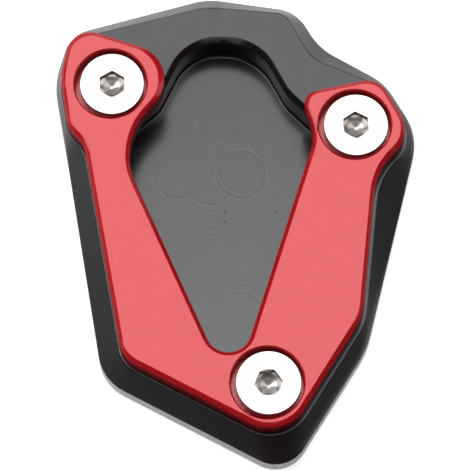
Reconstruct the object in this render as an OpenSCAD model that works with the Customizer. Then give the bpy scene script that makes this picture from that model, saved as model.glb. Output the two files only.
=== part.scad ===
// Foot plate for a motorcycle side stand, machined from plate in two parts.
// The foot of the stand drops into the pocket of the base plate, and the V-shaped
// clamp plate is screwed down over its rim. Millimetres, +Z up, +Y away from the
// V's closed end. The origin lies on the underside, at the middle of the foot.

/* [Whole plate] */
// Overall width of the foot of the base plate
plate_w = 73.9; // [66:0.1:84]
// Overall length of the foot of the base plate
plate_l = 99.3; // [90:0.1:112]

/* [Base plate] */
// Height of the upright wall round the foot
wall_h = 4.8; // [3:0.1:8]
// Height of the sloping bevel between the upright wall and the top face
bevel_h = 6.6; // [5:0.1:10]
// Break of the sharp edge round the underside
under_break = 0.4; // [0.2:0.1:1]
// How far the top face shows beyond the clamp plate
top_margin = 0.5; // [0.2:0.05:2]

/* [Pocket for the stand's foot] */
// Thickness of metal left under the pocket
pocket_floor_t = 2.4; // [1.5:0.1:4]
// Chamfer round the pocket's mouth
mouth_chamfer = 1; // [0.3:0.1:1.5]
// Rounding where the pocket's wall meets its floor
floor_cove = 0.4; // [0.2:0.1:1]
// How far the pocket runs on beneath the arms of the clamp plate
arm_overlap = 3; // [1.5:0.1:4]

/* [Clamp plate] */
// Thickness of the clamp plate
clamp_t = 5.2; // [4.6:0.1:8]
// Chamfer round the clamp plate's upper edge
clamp_chamfer = 0.8; // [0.3:0.1:1.2]
// How far off centre the clamp plate was fitted, within the play of its holes
clamp_play = -0.25; // [-0.4:0.05:0.4]

/* [Screws] */
// Thread size of the three screws
screw_d = 8; // [6:0.5:8]
// Length of the screw below its head
screw_l = 10; // [7:0.5:11]
// Diameter of the low head
head_d = 13; // [11:0.1:14]
// Height of the low head
head_h = 3.5; // [2.8:0.1:4]
// Chamfer round the head's face
head_chamfer = 0.2; // [0.1:0.05:0.6]
// Depth of the head's face below the clamp plate's face
head_sink = 0.25; // [0.1:0.05:0.6]
// Hexagon socket, across the flats
socket_af = 5; // [3:0.5:6]
// Depth of the straight part of the hexagon socket
socket_depth = 1.8; // [1:0.1:2.2]
// Depth of the conical end of the drilling below the hexagon
socket_point = 0.9; // [0.4:0.1:1.1]
// Lead-in chamfer of the socket
socket_lead = 0.1; // [0.05:0.05:0.4]
// Chamfer of the screw's end
end_chamfer = 0.7; // [0.3:0.1:1.2]

/* [Screw holes] */
// Gap all round a head in its counterbore
head_gap = 0.85; // [0.5:0.05:1.3]
// Edge break at the counterbore's mouth
bore_break = 0.3; // [0.1:0.05:0.5]
// Play all round a screw where it passes through the clamp plate
shank_play = 0.5; // [0.45:0.05:1]
// Gap all round a screw in its tapped hole, taken up by the thread
thread_gap = 0.05; // [0.03:0.01:0.1]
// Metal left under each blind tapped hole
hole_floor_t = 1.6; // [1:0.1:2]
// Countersink at the mouth of each tapped hole
hole_countersink = 0.5; // [0.2:0.1:1]

/* [Places of the screws] */
// Screw in the left arm of the clamp plate
left_screw = [-25.1, 27.2];
// Screw in the right arm of the clamp plate
right_screw = [24.6, 18.4];
// Screw beyond the closed end of the V
foot_screw = [6.7, -35.7];
// Way each screw's socket points, in degrees
socket_turns = [30, 34, 8];

/* [Hidden] */

base_t = wall_h + bevel_h;
clamp_top = base_t + clamp_t;
// The corner lists and the places of the screws are drawn for a plate of this width and
// length, and are stretched to the width and length asked for
drawn_w = 73.9;
drawn_l = 99.3;
across = plate_w / drawn_w;
along = plate_l / drawn_l;
function stretched(list) = [for (c = list) [c[0] * across, c[1] * along, each (len(c) > 2 ? [c[2]] : [])]];
screw_places = stretched([left_screw, right_screw, foot_screw]);
counterbore_d = head_d + 2 * head_gap;
seat_z = clamp_top - head_sink - head_h;
// Facets of each rounded corner, and of the round holes and heads
corner_steps = 10;
round_fn = 96;
// A cut runs this far past the face that it opens
past = 1;

// Outlines run anticlockwise. A corner is [x, y, how far either side of it the round
// starts], so a corner on a straight side is a straight stretch of twice that length.
// They are listed as drawn, and stretched below.

// Outer side of the clamp plate, from its left lobe round the foot to its right lobe
clamp_outer_drawn = [
    [-33.1, 40.1, 7.7], [-35.4, 28.9, 2.5], [-33.8, 18.0, 2.2], [-30.4, 14.6, 2.4],
    [-22.3, -30.4, 3.0], [10.0, -47.4, 7.7], [25.9, -21.7, 2.6], [28.9, 8.9, 4.9],
    [36.3, 16.7, 4.7], [29.6, 28.8, 3.8]
];
// The V-shaped opening, from the tip of the right lobe down to the closed end and back
clamp_vee_drawn = [
    [13.4, 25.2, 3.6], [16.6, 16.3, 3.4], [-0.3, -37.8, 12.3], [-23.6, 14.6, 9.2],
    [-8.6, 32.0, 12.1]
];
// Far side of the base plate's top face, which reaches beyond the open end of the V
top_far_drawn = [
    [30.5, 28.3, 2.8], [15.9, 34.3, 2.3], [10.2, 44.3, 1.7], [-5.8, 45.7, 3.1],
    [-33.2, 38.7, 4.6]
];
// Foot of the base plate, with one corner for each corner of its top face
foot_drawn = [
    [-37.4, 31.1, 3.6], [-35.2, 18.4, 2.0], [-34.4, 13.9, 2.0], [-26.8, -32.2, 5.0],
    [10.5, -51.8, 6.3], [26.8, -25.5, 3.4], [34.9, 7.9, 3.9], [37.8, 20.0, 5.0],
    [30.9, 31.4, 3.1], [17.5, 39.1, 3.6], [12.7, 47.2, 3.8], [-5.8, 49.9, 2.9],
    [-34.3, 42.0, 4.0]
];
// Round head of the pocket's mouth, which stands clear of the clamp plate
pocket_head_drawn = [
    [11.4, 27.3, 1.5], [5.1, 38.8, 7.1], [-10.1, 39.4, 7.1], [-16.4, 26.4, 1.5]
];
// How far along Y each arm of the pocket reaches beneath the clamp plate, and its round
right_arm_end = [18.5, 5.7];
left_arm_end = [16.7, 5.5];

clamp_outer = stretched(clamp_outer_drawn);
clamp_vee = stretched(clamp_vee_drawn);
top_far = stretched(top_far_drawn);
foot = stretched(foot_drawn);
pocket_head = stretched(pocket_head_drawn);

// Small plane geometry: a unit vector, the turn at corner i and its two neighbours
function unit(v) = v / norm(v);
function flat(p) = [p.x, p.y];
function before(list, i) = flat(list[(i + len(list) - 1) % len(list)]);
function after(list, i) = flat(list[(i + 1) % len(list)]);
function side_in(list, i) = unit(flat(list[i]) - before(list, i));
function side_out(list, i) = unit(after(list, i) - flat(list[i]));
function turn_at(list, i) =
    let (a = side_in(list, i), b = side_out(list, i)) atan2(cross(a, b), a * b);

// A round starts no further from its corner than half of either side allows
function reach_at(list, i) = max(0.02, min(
    list[i][2],
    0.49 * norm(flat(list[i]) - before(list, i)),
    0.49 * norm(after(list, i) - flat(list[i]))
));

// Points of corner i: a circular arc written as a weighted three-point curve
function corner_points(list, i) =
    let (
        reach = reach_at(list, i),
        p = flat(list[i]),
        start = p - side_in(list, i) * reach,
        end = p + side_out(list, i) * reach,
        weight = cos(turn_at(list, i) / 2)
    )
    [for (k = [0:corner_steps]) let (
        u = k / corner_steps,
        wa = (1 - u) * (1 - u),
        wb = 2 * u * (1 - u) * weight,
        wc = u * u
    ) (wa * start + wb * p + wc * end) / (wa + wb + wc)];
function outline(list) = [for (i = [0:len(list) - 1]) each corner_points(list, i)];

// The same outline moved outwards by d, with its rounds kept on their centres
function grown(list, d) = [for (i = [0:len(list) - 1]) let (
    a = side_in(list, i),
    b = side_out(list, i),
    na = [a.y, -a.x],
    nb = [b.y, -b.x],
    p = flat(list[i]) + d * (na + nb) / (1 + na * nb),
    reach = list[i][2] + d * tan(turn_at(list, i) / 2)
) [p.x, p.y, max(0.05, reach)]];
function slice(list, first, last) = [for (i = [first:last]) list[i]];

// The clamp plate's whole outline: its outer side, then the sides of its V
clamp_outline = concat(clamp_outer, clamp_vee);
// The top face of the base plate follows the clamp plate's outer side
outer_grown = grown(clamp_outline, top_margin);
top_outline = concat(slice(outer_grown, 1, 8), top_far);
// The pocket's arms follow the V, grown outwards beneath the clamp plate
closed_end = len(clamp_outer) + 2;
vee_grown = grown(clamp_outline, -arm_overlap);
function arm_corner(side, end) = let (
    p = flat(vee_grown[closed_end]),
    q = flat(vee_grown[closed_end + side]),
    y = end[0] * along
) [p.x + (q.x - p.x) * (y - p.y) / (q.y - p.y), y, end[1]];
pocket_mouth = concat(
    [vee_grown[closed_end], arm_corner(-1, right_arm_end)],
    pocket_head,
    [arm_corner(1, left_arm_end)]
);

// A solid through matching outlines, one above the other: rings is [[points, z], ...]
module loft(rings) {
    n = len(rings[0][0]);
    top = len(rings) - 1;
    points = [for (r = rings) each [for (p = r[0]) [p.x, p.y, r[1]]]];
    sides = [for (k = [0:top - 1], i = [0:n - 1]) let (j = (i + 1) % n)
        [k * n + i, (k + 1) * n + i, (k + 1) * n + j, k * n + j]];
    bottom_face = [for (i = [0:n - 1]) i];
    top_face = [for (i = [n - 1:-1:0]) top * n + i];
    polyhedron(points = points, faces = concat([bottom_face], sides, [top_face]), convexity = 8);
}

// Tapped blind hole with its countersink, opening at the base plate's top face
module tapped_hole() {
    r = screw_d / 2 + thread_gap;
    rotate_extrude($fn = round_fn) polygon([
        [0, hole_floor_t], [r, hole_floor_t], [r, base_t - hole_countersink],
        [r + hole_countersink, base_t], [r + hole_countersink, base_t + past],
        [0, base_t + past]
    ]);
}

// Through hole and counterbore of the clamp plate, with the counterbore's edge broken
module clamp_hole() {
    shank_r = screw_d / 2 + shank_play;
    bore_r = counterbore_d / 2;
    rotate_extrude($fn = round_fn) polygon([
        [0, base_t - past], [shank_r, base_t - past], [shank_r, seat_z], [bore_r, seat_z],
        [bore_r, clamp_top - bore_break], [bore_r + bore_break, clamp_top],
        [bore_r + bore_break, clamp_top + past], [0, clamp_top + past]
    ]);
}

// Base plate: straight foot, ruled bevel up to the waisted top face, and the pocket
module base_plate() {
    color([0.12, 0.12, 0.13]) difference() {
        loft([
            [outline(grown(foot, -under_break)), 0],
            [outline(foot), under_break],
            [outline(foot), wall_h],
            [outline(top_outline), base_t]
        ]);
        pocket_cut();
        for (p = screw_places) translate(p) tapped_hole();
    }
}

// The pocket, with a coved floor and a chamfered mouth
module pocket_cut() {
    inner = grown(pocket_mouth, -mouth_chamfer);
    loft([
        [outline(grown(inner, -floor_cove)), pocket_floor_t],
        [outline(inner), pocket_floor_t + floor_cove],
        [outline(inner), base_t - mouth_chamfer],
        [outline(grown(inner, mouth_chamfer + past)), base_t + past]
    ]);
}

// Clamp plate: a V between three lobes, its upper edge chamfered all round
module clamp_plate() {
    color([0.80, 0.10, 0.14]) translate([clamp_play, 0, 0]) difference() {
        translate([0, 0, base_t]) linear_extrude(clamp_t) polygon(outline(clamp_outline));
        edge_cut(clamp_outline, clamp_top, clamp_chamfer);
        for (p = screw_places) translate(p) clamp_hole();
    }
}

// Three-cornered ring that takes c off the upper edge of an outline at height z. It
// stands clear of both faces by a quarter of c.
module edge_cut(list, z, c) {
    clear = c / 4;
    rings = [
        [for (p = outline(grown(list, clear))) [p.x, p.y, z - c - clear]],
        [for (p = outline(grown(list, clear))) [p.x, p.y, z + clear]],
        [for (p = outline(grown(list, -c - clear))) [p.x, p.y, z + clear]]
    ];
    n = len(rings[0]);
    faces = [for (k = [0:2], i = [0:n - 1]) let (m = (k + 1) % 3, j = (i + 1) % n)
        [k * n + i, m * n + i, m * n + j, k * n + j]];
    polyhedron(points = [for (r = rings) each r], faces = faces, convexity = 8);
}

// One low-headed screw, its head seated at the height seat_z
module clamp_screw() {
    head_r = head_d / 2;
    shank_r = screw_d / 2;
    corner_r = socket_af / 2 / cos(30);
    face_z = seat_z + head_h;
    end_z = seat_z - screw_l;
    difference() {
        rotate_extrude($fn = round_fn) polygon([
            [0, end_z], [shank_r - end_chamfer, end_z], [shank_r, end_z + end_chamfer],
            [shank_r, seat_z], [head_r, seat_z], [head_r, face_z - head_chamfer],
            [head_r - head_chamfer, face_z], [0, face_z]
        ]);
        translate([0, 0, face_z - socket_depth]) cylinder(h = socket_depth + past, r = corner_r, $fn = 6);
        translate([0, 0, face_z - socket_lead])
            cylinder(h = socket_lead, r1 = socket_af / 2, r2 = corner_r + socket_lead / 2, $fn = round_fn);
        translate([0, 0, face_z - socket_depth - socket_point])
            cylinder(h = socket_point, r1 = 0, r2 = socket_af / 2, $fn = round_fn);
    }
}

// The three screws that hold the clamp plate down
module clamp_screws() {
    color([0.93, 0.93, 0.94]) for (i = [0:len(screw_places) - 1])
        translate(screw_places[i]) rotate(socket_turns[i]) clamp_screw();
}

base_plate();
clamp_plate();
clamp_screws();
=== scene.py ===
from math import atan2, ceil, cos, hypot, pi, radians, sin, tan

import bmesh
import bpy
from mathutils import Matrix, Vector
from mathutils.geometry import tessellate_polygon


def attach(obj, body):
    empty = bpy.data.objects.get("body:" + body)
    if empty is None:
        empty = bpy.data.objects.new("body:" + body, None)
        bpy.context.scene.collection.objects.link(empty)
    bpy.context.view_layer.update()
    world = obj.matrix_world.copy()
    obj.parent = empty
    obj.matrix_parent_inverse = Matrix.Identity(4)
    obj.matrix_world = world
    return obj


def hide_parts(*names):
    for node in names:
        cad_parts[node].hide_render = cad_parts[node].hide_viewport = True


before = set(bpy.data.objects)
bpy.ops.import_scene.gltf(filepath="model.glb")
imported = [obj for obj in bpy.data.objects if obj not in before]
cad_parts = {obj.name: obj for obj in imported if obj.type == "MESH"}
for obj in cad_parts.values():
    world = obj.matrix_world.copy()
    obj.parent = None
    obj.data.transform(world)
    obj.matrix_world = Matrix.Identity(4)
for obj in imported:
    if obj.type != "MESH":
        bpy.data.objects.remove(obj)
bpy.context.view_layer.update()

# Base plate. Milled from thick aluminium plate and black anodised: an upright wall, a
# ruled bevel up to the waisted top face, a pocket for the stand's foot and three blind
# tapped holes. The upright wall was faced after anodising, so it shows bare metal.
mm = 0.001                # every size below is in millimetres
wall_h = 4.8
base_t = 11.4
under_break = 0.4
top_margin = 0.5          # of the top face round the clamp plate
pocket_floor = 2.4
mouth_chamfer = 1.0
floor_cove = 0.4
arm_overlap = 3.0         # how far the pocket runs on beneath the clamp plate
tapped_r = 4.05
hole_floor = 1.6
hole_countersink = 0.5
edge_round = 0.12
nick = 0.03               # the rings that hold an edge crisp lie this far from it,
near = 0.05               # or this far
bevel_steps = 8
bevel_ends = (0.008, 0.985)    # its end rings lie just inside the two edges
least_round = 0.05
side_share = 0.49         # of a side, at most, that a corner's round takes up
faced = 1                 # number of the base plate's second finish
screw_places = [(-25.1, 27.2), (24.6, 18.4), (6.7, -35.7)]

# Corners run anticlockwise as x, y and how far either side of the corner its round starts
clamp_outer = [
    (-33.1, 40.1, 7.7), (-35.4, 28.9, 2.5), (-33.8, 18.0, 2.2), (-30.4, 14.6, 2.4),
    (-22.3, -30.4, 3.0), (10.0, -47.4, 7.7), (25.9, -21.7, 2.6), (28.9, 8.9, 4.9),
    (36.3, 16.7, 4.7), (29.6, 28.8, 3.8)]
clamp_vee = [
    (13.4, 25.2, 3.6), (16.6, 16.3, 3.4), (-0.3, -37.8, 12.3), (-23.6, 14.6, 9.2),
    (-8.6, 32.0, 12.1)]
top_far = [
    (30.5, 28.3, 2.8), (15.9, 34.3, 2.3), (10.2, 44.3, 1.7), (-5.8, 45.7, 3.1),
    (-33.2, 38.7, 4.6)]
foot = [
    (-37.4, 31.1, 3.6), (-35.2, 18.4, 2.0), (-34.4, 13.9, 2.0), (-26.8, -32.2, 5.0),
    (10.5, -51.8, 6.3), (26.8, -25.5, 3.4), (34.9, 7.9, 3.9), (37.8, 20.0, 5.0),
    (30.9, 31.4, 3.1), (17.5, 39.1, 3.6), (12.7, 47.2, 3.8), (-5.8, 49.9, 2.9),
    (-34.3, 42.0, 4.0)]
pocket_head = [
    (11.4, 27.3, 1.5), (5.1, 38.8, 7.1), (-10.1, 39.4, 7.1), (-16.4, 26.4, 1.5)]
right_arm_end = (18.5, 5.7)    # y of the corner, and where its round starts
left_arm_end = (16.7, 5.5)


def sides(corners, i):
    """Corner i and the directions of the sides that meet in it."""
    at, last, following = (Vector(corners[j % len(corners)][:2]) for j in (i, i - 1, i + 1))
    return at, at - last, following - at


def grown(corners, d):
    """The outline moved outwards by d, with its rounds kept on their centres."""
    moved = []
    for i, corner in enumerate(corners):
        at, a, b = sides(corners, i)
        a, b = a.normalized(), b.normalized()
        na, nb = Vector((a.y, -a.x)), Vector((b.y, -b.x))
        at = at + d * (na + nb) / (1 + na.dot(nb))
        half_turn = atan2(a.x * b.y - a.y * b.x, a.dot(b)) / 2
        moved.append((at.x, at.y, max(least_round, corner[2] + d * tan(half_turn))))
    return moved


def traced(corners, arc_steps=16, side_steps=6):
    """Points along the rounded outline, the same number for every corner and side."""
    arcs = []
    for i, corner in enumerate(corners):
        at, a, b = sides(corners, i)
        reach = min(corner[2], side_share * a.length, side_share * b.length)
        a, b = a.normalized(), b.normalized()
        start, end = at - a * reach, at + b * reach
        weight = cos(atan2(a.x * b.y - a.y * b.x, a.dot(b)) / 2)
        arc = []
        for k in range(arc_steps + 1):
            u = k / arc_steps
            wa, wb, wc = (1 - u) ** 2, 2 * u * (1 - u) * weight, u * u
            arc.append((wa * start + wb * at + wc * end) / (wa + wb + wc))
        arcs.append(arc)
    points = []
    for i, arc in enumerate(arcs):
        points += arc
        following = arcs[(i + 1) % len(arcs)][0]
        points += [arc[-1].lerp(following, k / side_steps) for k in range(1, side_steps)]
    return points


def outline_at(corners):
    """Gives the outline's points when told how far outwards they lie."""
    return lambda d: traced(grown(corners, d))


def circle_at(centre, count=96):
    """Gives a circle's points, anticlockwise, when told its radius."""
    angles = [2 * pi * k / count for k in range(count)]
    return lambda r: [Vector((centre[0] + r * cos(a), centre[1] + r * sin(a))) for a in angles]


def quarter(count):
    """Sine and cosine pairs from the start to the end of a quarter round."""
    return [(sin(pi / 2 * k / count), cos(pi / 2 * k / count)) for k in range(count + 1)]


class Shell:
    """A closed skin built from rings of points, each marked with how worn it is."""

    def __init__(self):
        self.points, self.faces, self.wear, self.finish = [], [], [], []

    def ring(self, points, z, wear=0.0):
        """A ring of points at one height, given back as their numbers."""
        first = len(self.points)
        self.points += [(p[0], p[1], z) for p in points]
        self.wear += [wear] * len(points)
        return list(range(first, len(self.points)))

    def rings(self, shape, rows):
        """A ring for each row: what the shape is told, the height and the wear."""
        return [self.ring(shape(told), z, wear) for told, z, wear in rows]

    def tube(self, rings, finish=0):
        """Joins each ring to the next."""
        for low, high in zip(rings, rings[1:]):
            n = len(low)
            self.faces += [(low[i], low[(i + 1) % n], high[(i + 1) % n], high[i])
                           for i in range(n)]
            self.finish += [finish] * n

    def cap(self, *loops):
        """Fills the first loop, with the others as holes in it."""
        ids = [i for loop in loops for i in loop]
        polygons = [[Vector(self.points[i]) for i in loop] for loop in loops]
        flat = [tuple(ids[k] for k in corner) for corner in tessellate_polygon(polygons)]
        self.faces += flat
        self.finish += [0] * len(flat)

    def made(self, name, sharp=28):
        """The skin as an object in metres, crisp at edges of more than sharp degrees."""
        mesh = bpy.data.meshes.new(name)
        mesh.from_pydata([Vector(p) * mm for p in self.points], [], self.faces)
        mark = mesh.attributes.new("edge", "FLOAT", "POINT")
        mark.data.foreach_set("value", self.wear)
        mesh.polygons.foreach_set("material_index", self.finish)
        work = bmesh.new()
        work.from_mesh(mesh)
        bmesh.ops.remove_doubles(work, verts=work.verts, dist=1e-7)
        bmesh.ops.recalc_face_normals(work, faces=work.faces)
        work.to_mesh(mesh)
        work.free()
        mesh.shade_smooth()
        mesh.set_sharp_from_angle(angle=radians(sharp))
        piece = bpy.data.objects.new(name, mesh)
        bpy.context.scene.collection.objects.link(piece)
        even = piece.modifiers.new("even shading", "WEIGHTED_NORMAL")
        even.keep_sharp = True
        even.weight = 100
        applied(piece)
        return piece


def applied(piece):
    """Turns the piece and its modifiers into a plain mesh."""
    graph = bpy.context.evaluated_depsgraph_get()
    mesh = bpy.data.meshes.new_from_object(piece.evaluated_get(graph))
    piece.modifiers.clear()
    piece.data = mesh
    mesh.name = piece.name


clamp_outline = clamp_outer + clamp_vee
top_outline = grown(clamp_outline, top_margin)[1:9] + top_far
vee_grown = grown(clamp_outline, -arm_overlap)
vee_end = len(clamp_outer) + 2


def arm_corner(side, end):
    """Corner of the pocket's arm, on the line that runs beneath the clamp plate."""
    p, q = vee_grown[vee_end], vee_grown[vee_end + side]
    y, reach = end
    return p[0] + (q[0] - p[0]) * (y - p[1]) / (q[1] - p[1]), y, reach


pocket_mouth = [vee_grown[vee_end], arm_corner(-1, right_arm_end), *pocket_head,
                arm_corner(1, left_arm_end)]
pocket_wall = grown(pocket_mouth, -mouth_chamfer)

# Rows of rings say how far outwards they lie, or their radius, then height and wear
base = Shell()
wall = base.rings(outline_at(foot), [
    (-under_break, 0, 0.4), (-nick, under_break - nick, 0.8), (0, under_break + near, 0.3),
    (0, 1.5, 0), (0, 3.0, 0), (0, wall_h - 0.2, 0), (0, wall_h - near, 0.5)])
base.tube(wall[:2])
base.tube(wall[1:], finish=faced)
bevel = [wall[-1]]
for k in range(bevel_steps + 1):
    t = min(bevel_ends[1], max(bevel_ends[0], k / bevel_steps))
    slanted = [low.lerp(high, t) for low, high in zip(traced(foot), traced(top_outline))]
    bevel.append(base.ring(slanted, wall_h + (base_t - wall_h) * t,
                           0.5 if k in (0, bevel_steps) else 0))
bevel += base.rings(outline_at(top_outline), [
    (-near, base_t - 0.02, 1.0), (-edge_round, base_t, 0.5), (-2 * edge_round, base_t, 0)])
base.tube(bevel)
pocket = base.rings(outline_at(pocket_mouth), [
    (2 * edge_round, base_t, 0), (edge_round, base_t, 0.5), (nick, base_t - nick, 0.7),
    (-edge_round, base_t - edge_round - nick, 0.2)])
pocket += base.rings(outline_at(pocket_wall), [
    (0.06, base_t - mouth_chamfer + 0.06, 0), (0, base_t - mouth_chamfer - 0.1, 0),
    (0, 8.0, 0), (0, 5.5, 0)])
pocket += base.rings(outline_at(pocket_wall), [
    (-floor_cove * (1 - c), pocket_floor + floor_cove * (1 - s), 0) for s, c in quarter(5)])
base.tube(pocket)
base.cap(pocket[-1])
hole_tops = []
for place in screw_places:
    hole = base.rings(circle_at(place), [
        (tapped_r + hole_countersink, base_t, 0), (tapped_r, base_t - hole_countersink, 0),
        (tapped_r, hole_floor, 0)])
    base.tube(hole)
    base.cap(hole[-1])
    hole_tops.append(hole[0])
base.cap(wall[0])
base.cap(bevel[-1], pocket[0], *hole_tops)
base_plate = base.made("milled_base")


class Wiring:
    """Builds in one shader tree. Each method gives back what comes out of its node."""

    def __init__(self, tree):
        self.tree = tree

    def fill(self, made, values):
        """A node with its inputs set, each to a value or to what another node gives."""
        for name, value in values.items():
            if isinstance(value, bpy.types.NodeSocket):
                self.tree.links.new(value, made.inputs[name])
            else:
                made.inputs[name].default_value = value
        return made

    def node(self, kind, values, **settings):
        """The outputs of a new node."""
        made = self.tree.nodes.new("ShaderNode" + kind)
        for name, value in settings.items():
            setattr(made, name, value)
        return self.fill(made, values).outputs

    def calc(self, operation, *values):
        """One calculation on numbers or sockets."""
        return self.node("Math", dict(enumerate(values)), operation=operation)[0]

    def mapped(self, value, low, high, to_low=0.0, to_high=1.0):
        """A value moved from one range to another, without going past either end."""
        return self.node("MapRange", dict(enumerate((value, low, high, to_low, to_high))))[0]

    def varied(self, grain, low=0.0, high=1.0):
        """Noise spread from low to high. It keeps mostly between 0.3 and 0.7."""
        return self.mapped(grain, 0.3, 0.7, low, high)

    def blend(self, t, first, second):
        """A colour part of the way from the first to the second."""
        return self.node("Mix", {0: t, 6: first, 7: second}, data_type="RGBA")[2]

    def split(self, vector):
        """The x, y and z of a place or a direction."""
        return self.node("SeparateXYZ", {0: vector})

    def place(self):
        """Object coordinates in millimetres."""
        metres = self.node("TexCoord", {})["Object"]
        return self.node("VectorMath", {0: metres, "Scale": 1 / mm}, operation="SCALE")[0]

    def level(self):
        """1 where the surface lies flat, 0 where it stands upright."""
        return self.calc("ABSOLUTE", self.split(self.node("NewGeometry", {})["Normal"])["Z"])

    def mark(self, name):
        """A value that the mesh holds at its points."""
        return self.node("Attribute", {}, attribute_name=name)

    def noise(self, place, scale, detail=2.0, roughness=0.5, stretch=(1, 1, 1)):
        """Soft random values, stretched along an axis where asked."""
        place = self.node("Mapping", {"Vector": place, "Scale": stretch})[0]
        return self.node("TexNoise", {"Vector": place, "Scale": scale, "Detail": detail,
                                      "Roughness": roughness})["Fac"]

    def bump(self, height, strength):
        """The normal of a surface with this height, in fiftieths of a millimetre."""
        return self.node("Bump", {"Height": height, "Strength": strength,
                                  "Distance": 0.02 * mm})[0]

    def group(self, group, values):
        """What a group gives when placed here with its own values."""
        made = self.tree.nodes.new("ShaderNodeGroup")
        made.node_tree = group
        return self.fill(made, values).outputs[0]


def new_finish(name):
    """A new material, its wiring and its shader."""
    material = bpy.data.materials.new(name)
    material.use_nodes = True
    return material, Wiring(material.node_tree), material.node_tree.nodes["Principled BSDF"]


def new_group(name, inputs, gives):
    """A group that gives a number at each Place: itself, its wiring, inputs and end."""
    group = bpy.data.node_groups.new(name, "ShaderNodeTree")
    group.interface.new_socket("Place", in_out="INPUT", socket_type="NodeSocketVector")
    for label, start in inputs.items():
        socket = group.interface.new_socket(label, in_out="INPUT", socket_type="NodeSocketFloat")
        socket.default_value = start
    group.interface.new_socket(gives, in_out="OUTPUT", socket_type="NodeSocketFloat")
    given = group.nodes.new("NodeGroupInput").outputs
    return group, Wiring(group), given, group.nodes.new("NodeGroupOutput")


# Feed marks that a face mill leaves: fine bowed lines at one pitch, uneven in strength
feed_marks, wire, given, result = new_group(
    "feed marks", {"Pitch": 0.3, "Slope": 0.14, "Bow": 90.0}, "Height")
x, y, _ = wire.split(given["Place"])
across = wire.calc("MULTIPLY_ADD", x, given["Slope"], y)
bowed = wire.calc("DIVIDE", wire.calc("POWER", x, 2.0), given["Bow"])
turns = wire.calc("DIVIDE", wire.calc("ADD", across, bowed), given["Pitch"])
wander = wire.noise(given["Place"], scale=0.35, detail=1.0)
turns = wire.calc("MULTIPLY_ADD", wander, 2.0, turns)
wave = wire.calc("SINE", wire.calc("MULTIPLY", turns, 2 * pi))
patches = wire.noise(given["Place"], scale=0.5, roughness=0.6, stretch=(0.35, 1, 1))
wire.fill(result, {"Height": wire.calc("MULTIPLY", wave, wire.mapped(patches, 0.35, 0.7))})

# Arc that an end mill leaves where it dwells: the part of its ring that faces one way.
# Limit is the cosine at which the arc ends: -1 for the whole ring, near 1 for a short arc.
tool_arc, wire, given, result = new_group(
    "tool arc", {"X": 0.0, "Y": 0.0, "Toward": 0.0, "Limit": 0.5, "Depth": 1.0,
                 "Radius": 5.2, "Width": 0.2}, "Height")
x, y, _ = wire.split(given["Place"])
x, y = wire.calc("SUBTRACT", x, given["X"]), wire.calc("SUBTRACT", y, given["Y"])
far = wire.calc("SQRT", wire.calc("MULTIPLY_ADD", x, x, wire.calc("MULTIPLY", y, y)))
off = wire.calc("DIVIDE", wire.calc("SUBTRACT", far, given["Radius"]), given["Width"])
fall = wire.calc("EXPONENT", wire.calc("MULTIPLY", wire.calc("MULTIPLY", off, off), -0.5))
ahead = wire.calc("MULTIPLY_ADD", x, wire.calc("COSINE", given["Toward"]),
                  wire.calc("MULTIPLY", y, wire.calc("SINE", given["Toward"])))
ahead = wire.calc("SUBTRACT", wire.calc("DIVIDE", ahead, far), given["Limit"])
depth = wire.calc("MULTIPLY", wire.mapped(ahead, 0.0, 0.25), given["Depth"])
ripple = wire.calc("MULTIPLY", wire.calc("SINE", off), fall)
wire.fill(result, {"Height": wire.calc("MULTIPLY", ripple, depth)})

# Edge wear: dye rubbed through in patches, along the edges that the mesh marks as worn.
# Patches come where the noise passes Rare, and are whole from Common on.
edge_wear, wire, given, result = new_group(
    "edge wear", {"Wear": 0.0, "From": 0.55, "Full": 1.0, "Scale": 0.8, "Detail": 4.0,
                  "Roughness": 0.65, "Rare": 0.42, "Common": 0.62, "Least": 0.1,
                  "Most": 0.7}, "Mask")
worn = wire.mapped(given["Wear"], given["From"], given["Full"])
patches = wire.noise(given["Place"], given["Scale"], given["Detail"], given["Roughness"])
chance = wire.mapped(patches, given["Rare"], given["Common"], given["Least"], given["Most"])
wire.fill(result, {"Mask": wire.calc("MULTIPLY", worn, chance)})

# Places on the pocket's floor where the cutter dwelt: x, y, the way the arc faces in
# degrees, its limit and how strong it is. The pits are three specks by the widest rings.
dwells = [
    (1.2, 12.3, 320, -1.0, 1.3), (1.7, 13.4, 235, 0.4, 1.0), (-5.3, 10.8, 268, 0.3, 1.3),
    (-11.7, 12.3, 240, 0.4, 1.2), (-2.9, 25.1, 235, 0.5, 0.9), (-2.6, 24.4, 250, 0.7, 0.7),
    (7.8, 20.8, 235, 0.7, 1.0), (7.0, 22.1, 240, 0.75, 0.8), (6.1, 23.6, 250, 0.75, 0.6),
    (-5.1, 9.4, 250, 0.65, 1.0), (-4.9, 6.8, 250, 0.65, 1.0), (-4.7, 5.4, 245, 0.7, 0.7),
    (-4.5, 4.1, 250, 0.7, 0.8), (-4.1, 2.9, 250, 0.7, 0.8), (-10.2, 10.6, 245, 0.7, 0.8),
    (-9.8, 8.4, 245, 0.75, 0.6), (1.0, -18.1, 72, 0.6, 1.3), (1.0, -16.3, 75, 0.65, 1.0),
    (1.2, -14.2, 78, 0.65, 1.0), (2.0, -11.7, 75, 0.7, 0.7)]
pit_places = [(-2.0, 4.1), (-2.1, 2.1), (8.5, 4.1)]
pit_width = 0.16
mark_depth, mark_shine = 0.9, 0.16
line_depth, line_shine = 0.05, 0.012
pore_depth = 0.08
pit_shine = -0.5
floor_painted_sheen = (0.19, -0.01)    # painted sheen on the pocket floor, more than the rest, fading from the pocket's tip to its head
upright_painted_shade = 0.6            # painted shade: upright faces reflect this share of the flat faces' light
dyed_black = (0.0125, 0.0098, 0.0094, 1)
rubbed_metal = (0.34, 0.34, 0.35, 1)

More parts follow.
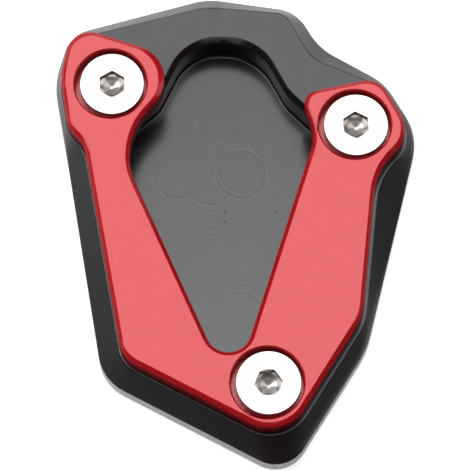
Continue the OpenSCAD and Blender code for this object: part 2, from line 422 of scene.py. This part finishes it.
black, wire, shader = new_finish("black anodised aluminium")
place = wire.place()
_, y, z = wire.split(place)
on_floor = wire.mapped(z, pocket_floor + 0.3, pocket_floor + 0.1)
dwell_marks = 0.0
for at_x, at_y, toward, limit, strong in dwells:
    dwell_marks = wire.calc("ADD", dwell_marks, wire.group(tool_arc, {
        "Place": place, "X": at_x, "Y": at_y, "Toward": radians(toward), "Limit": limit,
        "Depth": strong}))
uneven = wire.mapped(wire.noise(place, scale=0.5), 0.35, 0.6, 0.5, 1.0)
dwell_marks = wire.calc("MULTIPLY", wire.calc("MULTIPLY", dwell_marks, on_floor), uneven)
pits = 0.0
for at_x, at_y in pit_places:
    pits = wire.calc("ADD", pits, wire.group(tool_arc, {
        "Place": place, "X": at_x, "Y": at_y, "Limit": -1.5, "Radius": 0.0,
        "Width": pit_width}))
face_lines = wire.group(feed_marks, {"Place": place, "Pitch": 0.42, "Slope": 0.1})
pores = wire.noise(place, scale=16.0, roughness=0.6)
bumps = wire.calc("MULTIPLY", pores, pore_depth)
bumps = wire.calc("MULTIPLY_ADD", face_lines, line_depth, bumps)
bumps = wire.calc("MULTIPLY_ADD", dwell_marks, mark_depth, bumps)

cloud = wire.noise(place, scale=0.35, detail=4.0, roughness=0.65)
# Painted sheen: the pocket floor reflects more towards its tip
shine = wire.calc("MULTIPLY", on_floor, wire.mapped(y, -30.0, 40.0, *floor_painted_sheen))
shine = wire.calc("ADD", wire.varied(cloud, 0.46, 0.51), shine)
shine = wire.calc("MULTIPLY_ADD", dwell_marks, mark_shine, shine)
shine = wire.calc("MULTIPLY_ADD", face_lines, line_shine, shine)
shine = wire.calc("MULTIPLY_ADD", wire.calc("MULTIPLY", pits, on_floor), pit_shine, shine)
# Painted shade: upright faces reflect less than flat ones
shine = wire.calc("MULTIPLY", shine, wire.mapped(wire.level(), 0.1, 0.5, upright_painted_shade, 1.0))
rubbed = wire.group(edge_wear, {"Place": place, "Wear": wire.mark("edge")["Fac"]})
wire.fill(shader, {
    "Base Color": wire.blend(rubbed, dyed_black, rubbed_metal),
    "Metallic": wire.calc("MULTIPLY", rubbed, 0.8),
    "Roughness": wire.varied(cloud, 0.18, 0.22), "IOR": 1.6,
    "Specular IOR Level": shine, "Normal": wire.bump(bumps, 0.12)})

# The bare wall is scored along its length by the side of the cutter
stained_metal, clean_metal = (0.80, 0.78, 0.76, 1), (0.88, 0.87, 0.86, 1)
bare, wire, shader = new_finish("bare faced aluminium")
place = wire.place()
scored = wire.noise(place, scale=6.0, detail=3.0, roughness=0.6, stretch=(0.12, 0.12, 2.4))
stain = wire.varied(wire.noise(place, scale=0.2, detail=4.0, roughness=0.6))
wire.fill(shader, {
    "Base Color": wire.blend(stain, stained_metal, clean_metal),
    "Metallic": 0.45, "Roughness": wire.varied(scored, 0.42, 0.58),
    "Normal": wire.bump(scored, 0.35)})

base_plate.data.materials.append(black)
base_plate.data.materials.append(bare)
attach(base_plate, "root")
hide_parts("base_plate")

# Clamp plate. Cut from thinner aluminium plate, its upper edge chamfered, the face milled
# with fine feed lines and the whole anodised red. Lies flat on the base plate, held down
# by the three screws in their counterbores.
clamp_t = 5.2
clamp_top = base_t + clamp_t
clamp_chamfer = 0.8
clamp_play = -0.25        # it sits this far across, within the play of its holes
through_r = 4.5
counterbore_r = 7.35
bore_break = 0.3
head_h = 3.5
head_sink = 0.25
seat_z = clamp_top - head_sink - head_h
chamfer_z = clamp_top - clamp_chamfer

clamp = Shell()
edge_rings = clamp.rings(outline_at(clamp_outline), [
    (-near, base_t, 0.3), (0, base_t + near, 0.2), (0, base_t + 2.0, 0),
    (0, chamfer_z - 0.1, 0.5), (-near, chamfer_z + near, 0.8),
    (near - clamp_chamfer, clamp_top - near, 0.7), (-0.09 - clamp_chamfer, clamp_top, 0.5),
    (-0.25 - clamp_chamfer, clamp_top, 0)])
clamp.tube(edge_rings)
tops, bottoms = [], []
for place in screw_places:
    bore = clamp.rings(circle_at(place), [
        (counterbore_r + bore_break + 0.15, clamp_top, 0),
        (counterbore_r + bore_break, clamp_top, 0.5),
        (counterbore_r + nick, clamp_top - bore_break, 0.6),
        (counterbore_r, clamp_top - bore_break - 0.06, 0.2), (counterbore_r, seat_z, 0),
        (through_r, seat_z, 0), (through_r, base_t, 0)])
    clamp.tube(bore)
    tops.append(bore[0])
    bottoms.append(bore[-1])
clamp.cap(edge_rings[-1], *tops)
clamp.cap(edge_rings[0], *bottoms)
clamp.points = [(x + clamp_play, y, z) for x, y, z in clamp.points]
clamp_plate = clamp.made("vee_clamp")

dull_red, bright_red = (0.62, 0.009, 0.018, 1), (0.75, 0.015, 0.024, 1)
worn_red = (0.85, 0.32, 0.30, 1)
shaded_red = (0.05, 0.003, 0.005, 1)    # painted shade, darkest where the upright walls near the base plate
shaded_share = (0.85, 0.35)    # of the painted shade, from the foot of the walls to their top
line_depth, line_tone = 0.5, 0.6
line_fade = (1.6, 0.5)         # of the feed lines, from the left to the right arm
pore_depth = 0.06

red, wire, shader = new_finish("red anodised aluminium")
place = wire.place()
x, _, z = wire.split(place)
lines = wire.group(feed_marks, {"Place": place, "Pitch": 0.5, "Slope": 0.22})
lines = wire.calc("MULTIPLY", lines, wire.mapped(z, clamp_top - 0.1, clamp_top - 0.03))
lines = wire.calc("MULTIPLY", lines, wire.mapped(x, 5.0, 25.0, *line_fade))
pores = wire.noise(place, scale=14.0, roughness=0.6)
bumps = wire.calc("MULTIPLY_ADD", lines, line_depth, wire.calc("MULTIPLY", pores, pore_depth))
cloud = wire.varied(wire.noise(place, scale=0.3, detail=4.0, roughness=0.65), 0.3, 0.7)
dye = wire.blend(wire.calc("MULTIPLY_ADD", lines, line_tone, cloud), dull_red, bright_red)
rubbed = wire.group(edge_wear, {
    "Place": place, "Wear": wire.mark("edge")["Fac"], "Full": 0.8, "Scale": 1.6,
    "Detail": 5.0, "Roughness": 0.7, "Rare": 0.56, "Common": 0.72, "Least": 0.0, "Most": 0.3})
worn = wire.blend(rubbed, dye, worn_red)
# Painted shade: the upright walls are painted dark, most of all near their foot
upright = wire.mapped(wire.level(), 0.1, 0.5, 1.0, 0.0)
painted_wall_shade = wire.mapped(z, base_t + 1.0, clamp_top - 0.7, *shaded_share)
facing = wire.node("LayerWeight", {"Blend": 0.5})["Facing"]
wire.fill(shader, {
    "Base Color": wire.blend(wire.calc("MULTIPLY", upright, painted_wall_shade), worn, shaded_red),
    "Metallic": 0.2, "Roughness": wire.mapped(pores, 0.2, 0.8, 0.32, 0.38),
    "Specular IOR Level": 0.0, "Coat Weight": wire.mapped(facing, 0.35, 0.75, 1.0, 0.12),
    "Coat Roughness": 0.18, "Coat IOR": 1.6, "Normal": wire.bump(bumps, 0.12)})

clamp_plate.data.materials.append(red)
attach(clamp_plate, "root")
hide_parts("clamp_plate")

# Clamp screws. Three low-headed machine screws in stainless steel with hexagon sockets,
# turned all over, the socket drilled to a cone and then broached, the thread rolled.
# One screw is modelled and set at three points, each turned as it was tightened.
head_r = 6.5
head_chamfer = 0.1
screw_r = 4.0
screw_l = 10.0
thread_pitch = 1.25
thread_depth = 0.66
thread_flank = 2.4        # how steeply it falls
thread_crest = 0.1        # how much of it stays at the top
rows_a_turn = 8
neck_rows = 6             # plain below the head, and as many again to reach full depth
end_chamfer = 0.7
socket_af = 5.0
socket_depth = 1.8
socket_point = 0.9
socket_lead = 0.1
socket_turns = [30, 34, 8]
around = 96
face_z = seat_z + head_h
socket_z = face_z - socket_depth
end_z = seat_z - screw_l
lead_r = socket_af / 2 / cos(pi / 6) + socket_lead / 2


def hexagon(af):
    """Points of a hexagon, spread as evenly in angle as a circle's."""
    angles = [2 * pi * k / around for k in range(around)]
    radii = [af / 2 / cos(a % (pi / 3) - pi / 6) for a in angles]
    return [Vector((r * cos(a), r * sin(a))) for r, a in zip(radii, angles)]


def threaded(row, z):
    """Points round the shank in one row, where the thread winds down it."""
    full = min(1.0, max(0.0, (row - neck_rows) / neck_rows))
    outer = screw_r - max(0.0, end_chamfer - (z - end_z))
    points = []
    for k in range(around):
        from_crest = abs((z / thread_pitch - k / around) % 1 - 0.5)
        cut = max(0.0, min(1.0, from_crest * thread_flank - thread_crest))
        r = min(screw_r - thread_depth * full * cut, outer)
        points.append((r * cos(2 * pi * k / around), r * sin(2 * pi * k / around)))
    return points


screw = Shell()
mouth = screw.ring(hexagon(socket_af), face_z, 0.5)
for i in mouth:
    x, y, z = screw.points[i]
    lead = socket_lead * (lead_r - hypot(x, y)) / (lead_r - socket_af / 2)
    screw.points[i] = (x, y, z - lead)
bottom = screw.ring(hexagon(socket_af), socket_z)
cone = screw.rings(circle_at((0, 0), around), [
    (socket_af / 2 * t, socket_z - socket_point * (1 - t), 0) for t in (0.02, 0.25, 0.6, 0.98)])
head = screw.rings(circle_at((0, 0), around), [
    (lead_r, face_z, 0.5), (4.6, face_z, 0), (head_r - head_chamfer - 0.08, face_z, 0.2)])
head += screw.rings(circle_at((0, 0), around), [
    (head_r - head_chamfer * (1 - s), face_z - head_chamfer * (1 - c), 0.3)
    for s, c in quarter(6)[1:-1]])
head += screw.rings(circle_at((0, 0), around), [
    (head_r, face_z - head_chamfer, 0.2), (head_r, face_z - 1.8, 0),
    (head_r, seat_z + 0.1, 0.3), (head_r - 0.1, seat_z, 0.3)])
rows = ceil(screw_l / thread_pitch * rows_a_turn)
shank = []
for row in range(rows + 1):
    z = seat_z - screw_l * row / rows
    shank.append(screw.ring(threaded(row, z), z))
screw.tube([*cone, bottom, mouth, *head, *shank])
screw.cap(cone[0])
screw.cap(shank[-1])
one_screw = screw.made("one clamp screw", sharp=32)
turned = one_screw.data.attributes.new("turned", "FLOAT_VECTOR", "POINT")
turned.data.foreach_set("vector", [c / mm for v in one_screw.data.vertices for c in v.co])

# Painted shade in the socket: the broached walls and the ledge round the drilled cone are
# painted darker than the steel
drilled_steel, ledge_shade_steel = (0.84, 0.80, 0.77, 1), (0.44, 0.40, 0.38, 1)
wall_shade_steel = (0.28, 0.25, 0.23, 1)
turned_steel, lit_steel = (0.66, 0.645, 0.63, 1), (0.72, 0.71, 0.70, 1)

steel, wire, shader = new_finish("turned stainless steel")
place = wire.mark("turned")["Vector"]
x, y, z = wire.split(place)
radius = wire.calc("SQRT", wire.calc("ADD", wire.calc("POWER", x, 2.0),
                                     wire.calc("POWER", y, 2.0)))
along_cut = wire.node("CombineXYZ", {0: radius, 1: wire.calc("MULTIPLY", z, 0.8)})[0]
turned_lines = wire.noise(along_cut, scale=9.0, detail=3.0, roughness=0.7)
spots = wire.noise(place, scale=1.6, detail=4.0, roughness=0.6)
below_face = wire.mapped(z, face_z - 0.06, face_z - 0.14)
in_socket = wire.calc("MULTIPLY", below_face, wire.mapped(radius, 3.2, 3.1))
outside = wire.blend(wire.varied(turned_lines), turned_steel, lit_steel)
drilled = wire.blend(wire.mapped(radius, 1.6, 1.75), drilled_steel, ledge_shade_steel)
upright = wire.mapped(wire.level(), 0.3, 0.6, 1.0, 0.0)
# Painted shade: the upright socket walls take the darkest steel
inside = wire.blend(upright, drilled, wall_shade_steel)
wire.fill(shader, {
    "Base Color": wire.blend(in_socket, outside, inside),
    "Metallic": wire.mapped(in_socket, 0.0, 1.0, 1.0, 0.72),
    "Roughness": wire.varied(spots, 0.22, 0.28), "Normal": wire.bump(turned_lines, 0.2)})

points = bpy.data.meshes.new("screw places")
points.from_pydata([Vector((x, y, 0)) * mm for x, y in screw_places], [], [])
turn = points.attributes.new("turn", "FLOAT", "POINT")
turn.data.foreach_set("value", [radians(a) for a in socket_turns])
clamp_screws = bpy.data.objects.new("clamp_screw_set", points)
bpy.context.scene.collection.objects.link(clamp_screws)

repeat = bpy.data.node_groups.new("a screw at each place", "GeometryNodeTree")
for label, kind, way in (("Places", "Geometry", "INPUT"), ("Screw", "Object", "INPUT"),
                         ("Steel", "Material", "INPUT"), ("Screws", "Geometry", "OUTPUT")):
    repeat.interface.new_socket(label, in_out=way, socket_type="NodeSocket" + kind)
given, result, shape, angle, about_z, set_down, real, coated = (
    repeat.nodes.new(kind) for kind in (
        "NodeGroupInput", "NodeGroupOutput", "GeometryNodeObjectInfo",
        "GeometryNodeInputNamedAttribute", "ShaderNodeCombineXYZ",
        "GeometryNodeInstanceOnPoints", "GeometryNodeRealizeInstances",
        "GeometryNodeSetMaterial"))
angle.inputs["Name"].default_value = "turn"
for start, end in (
        (given.outputs["Screw"], shape.inputs["Object"]),
        (given.outputs["Places"], set_down.inputs["Points"]),
        (shape.outputs["Geometry"], set_down.inputs["Instance"]),
        (angle.outputs["Attribute"], about_z.inputs["Z"]),
        (about_z.outputs["Vector"], set_down.inputs["Rotation"]),
        (set_down.outputs["Instances"], real.inputs["Geometry"]),
        (real.outputs["Geometry"], coated.inputs["Geometry"]),
        (given.outputs["Steel"], coated.inputs["Material"]),
        (coated.outputs["Geometry"], result.inputs["Screws"])):
    repeat.links.new(start, end)
setting = clamp_screws.modifiers.new("three screws", "NODES")
setting.node_group = repeat
sockets = {s.name: s.identifier for s in repeat.interface.items_tree if s.in_out == "INPUT"}
setting[sockets["Screw"]] = one_screw
setting[sockets["Steel"]] = steel
applied(clamp_screws)
bpy.data.objects.remove(one_screw)
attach(clamp_screws, "root")
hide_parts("clamp_screws")

# Floor, light and camera. A pale table in soft light: one large softbox overhead, fills
# from the front and both sides, and the camera leaning 16.9 degrees from straight above.
floor_mesh = bpy.data.meshes.new("floor")
floor_mesh.from_pydata([(-2, -2, 0), (2, -2, 0), (2, 2, 0), (-2, 2, 0)], [], [(0, 1, 2, 3)])
floor = bpy.data.objects.new("floor", floor_mesh)
bpy.context.scene.collection.objects.link(floor)

# The camera sees a white table. The metal mirrors one with painted shade: lightest to the left
# and behind, warm in front, and painted bright close beside the plate.
pale, wire, shader = new_finish("pale table")
x, y, _ = wire.split(wire.place())
side = wire.mapped(x, -60.0, 40.0, 0.72, 0.34)
depth = wire.mapped(y, -90.0, 60.0, 0.34, 1.1)
behind = wire.mapped(y, 22.0, 55.0, 0.0, 0.6)
shade = wire.calc("MINIMUM", wire.calc("MULTIPLY_ADD", side, depth, behind), 0.98)
path = wire.node("LightPath", {})
seen = path["Is Camera Ray"]
# Painted light: the table is painted bright where it lies within about a centimetre of what
# mirrors it
shade = wire.calc("MAXIMUM", shade, wire.mapped(path["Ray Length"], 0.006, 0.011, 0.95, 0.0))
cool = wire.calc("MULTIPLY", shade, wire.mapped(y, -85.0, -55.0, 0.72, 1.0))
mirrored = wire.node("CombineColor", {0: shade, 1: cool, 2: cool})[0]
wire.fill(shader, {
    "Base Color": wire.blend(seen, mirrored, (0.95, 0.95, 0.95, 1)),
    "Roughness": 0.9, "Specular IOR Level": 0.0, "Emission Color": (1, 1, 1, 1),
    "Emission Strength": wire.calc("MULTIPLY", seen, 0.62)})
floor_mesh.materials.append(pale)

# Name, place in metres, width and height in metres, watts
softboxes = [
    ("overhead softbox", (0.0, 0.20, 0.62), (0.56, 0.50), 2.45),
    ("front fill", (0.0, -0.60, 0.45), (0.60, 0.35), 0.7),
    ("left fill", (-0.55, 0.05, 0.50), (0.35, 0.60), 1.6),
    ("right fill", (0.55, 0.05, 0.50), (0.35, 0.60), 0.5)]
lit_point = Vector((0, 0, 0.01))
for name, where, size, power in softboxes:
    light = bpy.data.lights.new(name, "AREA")
    light.shape = "RECTANGLE"
    light.size, light.size_y = size
    light.energy = power
    lamp = bpy.data.objects.new(name, light)
    lamp.location = where
    lamp.rotation_euler = (lit_point - lamp.location).to_track_quat("-Z", "Y").to_euler()
    bpy.context.scene.collection.objects.link(lamp)

# A dim room, brightest behind and to the left, and darker towards the table
world = bpy.data.worlds.new("studio")
bpy.context.scene.world = world
world.use_nodes = True
wire = Wiring(world.node_tree)
x, y, z = wire.split(wire.node("TexCoord", {})["Generated"])
glow = wire.calc("ADD", wire.mapped(y, -1.0, 1.0, 0.02, 0.30),
                 wire.mapped(x, -1.0, 1.0, 0.10, 0.0))
glow = wire.calc("MULTIPLY", glow, wire.mapped(z, 0.15, 0.6, 0.25, 1.0))
wire.fill(world.node_tree.nodes["Background"], {"Strength": glow})

tilt = radians(16.9)
distance = 724.35
target = Vector((0.0, -5.1, clamp_top))
camera = bpy.data.objects.new("camera", bpy.data.cameras.new("camera"))
camera.data.sensor_width = 36
camera.data.lens = 275.75
camera.location = (target + distance * Vector((0, -sin(tilt), cos(tilt)))) * mm
camera.rotation_euler = (tilt, 0, 0)
camera.data.clip_start = 0.05
bpy.context.scene.collection.objects.link(camera)
bpy.context.scene.camera = camera
bpy.context.scene.view_settings.view_transform = "Standard"
